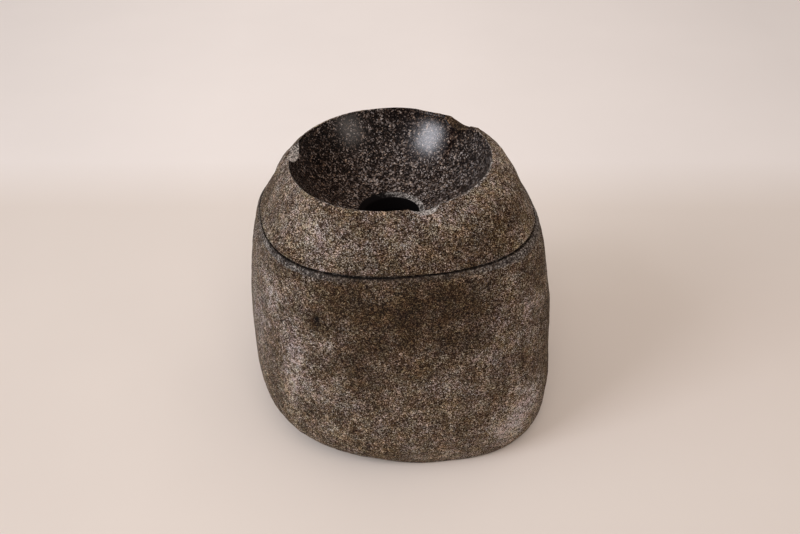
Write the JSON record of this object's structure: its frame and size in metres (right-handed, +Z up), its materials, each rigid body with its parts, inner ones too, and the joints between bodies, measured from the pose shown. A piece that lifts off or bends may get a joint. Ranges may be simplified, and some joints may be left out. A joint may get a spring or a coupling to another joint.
{
  "type": "lidded stone ashtray",
  "caption": "Ashtray made from a river cobble: a hollow stone body and a lift-off stone lid with a polished dish, a drop hole and rests across its rim.",
  "frame": {"origin": "foot of the chamber's turned axis on the ground base", "axes": "+Z up, out of the dish; -Y towards the front; +X to the right"},
  "size_m": [0.1726, 0.1609, 0.1624],
  "materials": {
    "body_stone": "natural river-worn skin, matte, salt-and-pepper grain",
    "lid_stone": "natural matte skin outside, polished dish, ground rests and joint faces"
  },
  "bodies": {
    "body": {"stone_body": "body_stone"},
    "lid": {"stone_lid": "lid_stone"}
  },
  "joints": [
    {"name": "lid_lift", "type": "slide", "parent": "body", "child": "lid", "axis": [0, 0, 1], "range_m": [0, 0.12]}
  ]
}
